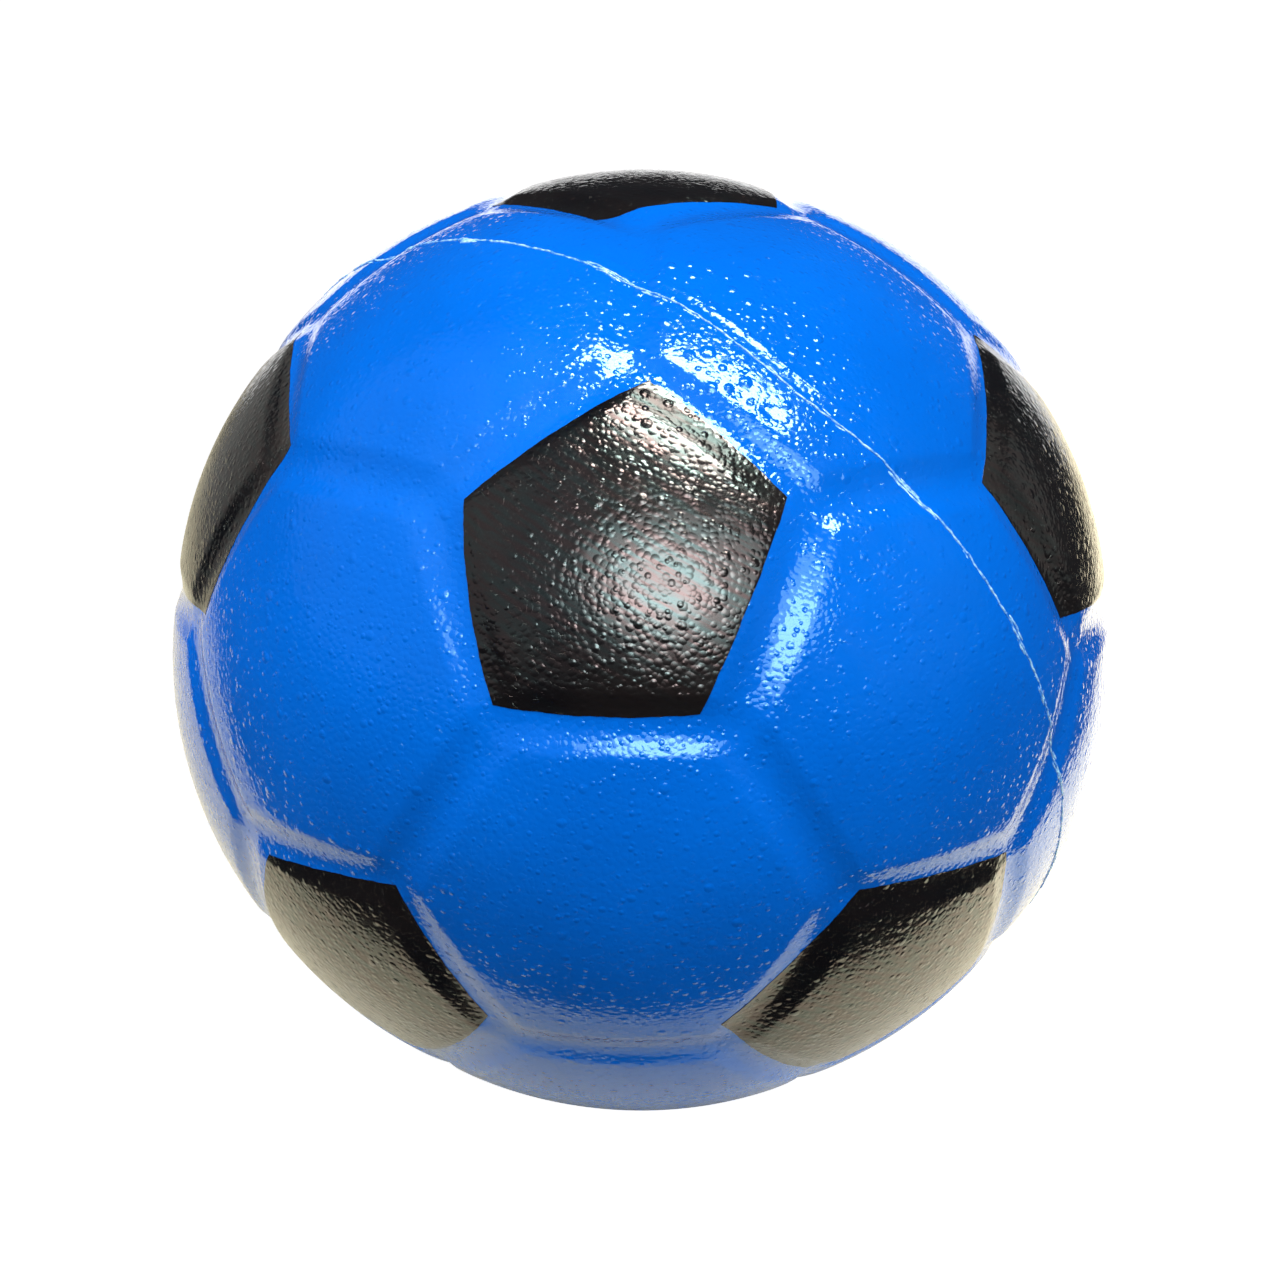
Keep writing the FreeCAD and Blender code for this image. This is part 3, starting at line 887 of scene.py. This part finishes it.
def paper_material():
    """Warm white paper, brighter on the right with painted light and darker under the ball's front
    with a painted shadow.
    """
    material, tree, shader = new_material("paper")
    shader.inputs["Roughness"].default_value = DULL
    shader.inputs["Specular IOR Level"].default_value = 0.0
    shader.inputs["Emission Color"].default_value = PAPER_WARM
    place = node(tree, "TexCoord").outputs["Object"]
    # Painted shadow: near the ball's foot the colour turns from PAPER_WARM to PAPER_SHADE.
    foot = node(tree, "VectorMath", {0: place, 1: PAPER_SHADOW}, operation="DISTANCE").outputs[1]
    clear = remap(tree, foot, *PAPER_SHADOW_SPAN)
    tree.links.new(mixed(tree, clear, PAPER_SHADE, PAPER_WARM), shader.inputs["Base Color"])
    # Painted light: the paper's glow grows towards the right.
    right = node(tree, "SeparateXYZ", {0: place}).outputs[0]
    glow = remap(tree, right, *PAPER_GLOW_SPAN, 0.0, PAPER_GLOW)
    tree.links.new(glow, shader.inputs["Emission Strength"])
    return material


def sheet(name, outline, height, material):
    """Flat stage piece with the given outline, in metres."""
    mesh = bpy.data.meshes.new(name)
    mesh.from_pydata([(x, y, height) for x, y in outline], [], [tuple(range(len(outline)))])
    piece = bpy.data.objects.new(name, mesh)
    scene.collection.objects.link(piece)
    mesh.materials.append(material)
    return piece


def only_camera(piece):
    """Keeps a stage piece out of reflections and out of the light that falls on the ball."""
    piece.visible_diffuse = False
    piece.visible_glossy = False
    piece.visible_transmission = False
    piece.visible_shadow = False


only_camera(sheet("floor", FLOOR_OUTLINE, ground, stage_material("floor_white", GREY, FLOOR_GLOW)))
paper = sheet("paper", PAPER_OUTLINE, ground, paper_material())
paper.visible_camera = False
backdrop_glow = stage_material("backdrop", BLACK, BACKDROP_GLOW)
backdrop = sheet("backdrop", BACKDROP_OUTLINE, 0.0, backdrop_glow)
backdrop.rotation_euler = (math.radians(90), 0, 0)
backdrop.location = (0, BACKDROP_DISTANCE, 0)
backdrop.visible_camera = False

bpy.ops.mesh.primitive_uv_sphere_add(segments=32, ring_count=16, radius=SURROUND_RADIUS)
surround = bpy.context.active_object
surround.name = "surround"
surround.data.materials.append(stage_material("surround_white", BLACK, SURROUND_GLOW))
only_camera(surround)


def heading(turn, height):
    """Unit vector: turn goes from the front to the right, height up from level, in degrees."""
    a, e = math.radians(turn), math.radians(height)
    return Vector((math.sin(a) * math.cos(e), -math.cos(a) * math.cos(e), math.sin(e)))


DIM_ROOM = (0.035, 0.037, 0.042, 1)
WARM = (1.0, 0.98, 0.90)
COOL = (0.97, 1.0, 1.0)
TUBE = (0.94, 1.0, 0.90)


def soft_light(name, turn, height, distance, size, glow, long_turn, colour):
    """Oval panel that faces the ball. Size is the angles it fills, along long_turn and across it;
    glow is its radiance."""
    towards = heading(turn, height)
    across = towards.cross(heading(long_turn, 0)).normalized()
    along = across.cross(towards)
    data = bpy.data.lights.new(name, "AREA")
    data.shape = "ELLIPSE"
    data.size, data.size_y = (2 * distance * math.tan(math.radians(angle / 2)) for angle in size)
    area = math.pi / 4 * data.size * data.size_y
    data.energy = glow * math.pi * area
    data.color = colour
    light = bpy.data.objects.new(name, data)
    scene.collection.objects.link(light)
    turned = Matrix((along, across, towards)).transposed().to_4x4()
    light.matrix_world = Matrix.Translation(towards * distance) @ turned
    light.visible_camera = False
    return light


# Panels that show only as highlights, and broad fills that only light the colours. Each row is what
# soft_light takes.
HIGHLIGHTS = (
    ("overhead", 33, 70, 1.3, (37, 18), 42, 71, WARM),
    ("front_panel", 10, 29, 1.3, (26, 19), 14, 90, COOL),
    ("front_glow", 14, 30, 1.35, (50, 34), 5.0, 90, COOL),
    ("wall_left", -45, 40, 1.8, (100, 80), 0.20, 45, COOL),
)
FILLS = (
    ("fill_left", -28, 54, 1.6, (60, 60), 6.8, 45, COOL),
    ("fill_right", 60, 26, 1.6, (60, 60), 3.2, 45, COOL),
)
# The glossy prints mirror more of the ceiling lamp and the walls than the rubber does.
PRINT_HIGHLIGHTS = (
    ("overhead_back", 108, 73, 1.35, (30, 14), 17, 60, TUBE),
    ("wall_front_left", -50, 28, 1.45, (70, 50), 0.40, 90, COOL),
    ("wall_back_left", -122, 10, 1.5, (50, 50), 0.34, 45, WARM),
    ("wall_back_right", 98, 20, 1.5, (44, 44), 0.40, 45, WARM),
)
printed_pieces = bpy.data.collections.new("printed_pieces")
for piece in prints:
    printed_pieces.objects.link(piece)
for settings in HIGHLIGHTS:
    soft_light(*settings).visible_diffuse = False
for settings in FILLS:
    soft_light(*settings).visible_glossy = False
for settings in PRINT_HIGHLIGHTS:
    light = soft_light(*settings)
    light.visible_diffuse = False
    light.light_linking.receiver_collection = printed_pieces

world = bpy.data.worlds.new("studio")
scene.world = world
world.use_nodes = True
world.node_tree.nodes.clear()
sky = node(world.node_tree, "Background", {"Color": DIM_ROOM, "Strength": 1.0})
sky_out = node(world.node_tree, "OutputWorld")
world.node_tree.links.new(sky.outputs[0], sky_out.inputs[0])

# The camera: distance and aim in ball radii, angles in degrees, sensor and lens in mm.
DISTANCE = 4.020
AIM = (-0.0037, 0.0, 0.0)
AZIMUTH, ELEVATION, ROLL = 2.48, 18.45, 0.75
SENSOR, LENS = 36, 51.56

camera_data = bpy.data.cameras.new("camera")
camera_data.sensor_width = SENSOR
camera_data.lens = LENS
camera = bpy.data.objects.new("camera", camera_data)
scene.collection.objects.link(camera)
back = heading(AZIMUTH, ELEVATION)
place = Matrix.Translation((Vector(AIM) + back * DISTANCE) * CROWN * MM)
look = (-back).to_track_quat("-Z", "Y").to_matrix().to_4x4()
camera.matrix_world = place @ look @ Matrix.Rotation(math.radians(ROLL), 4, "Z")
camera_data.clip_start = 0.01
camera_data.clip_end = 50
scene.camera = camera
scene.view_settings.view_transform = "Standard"
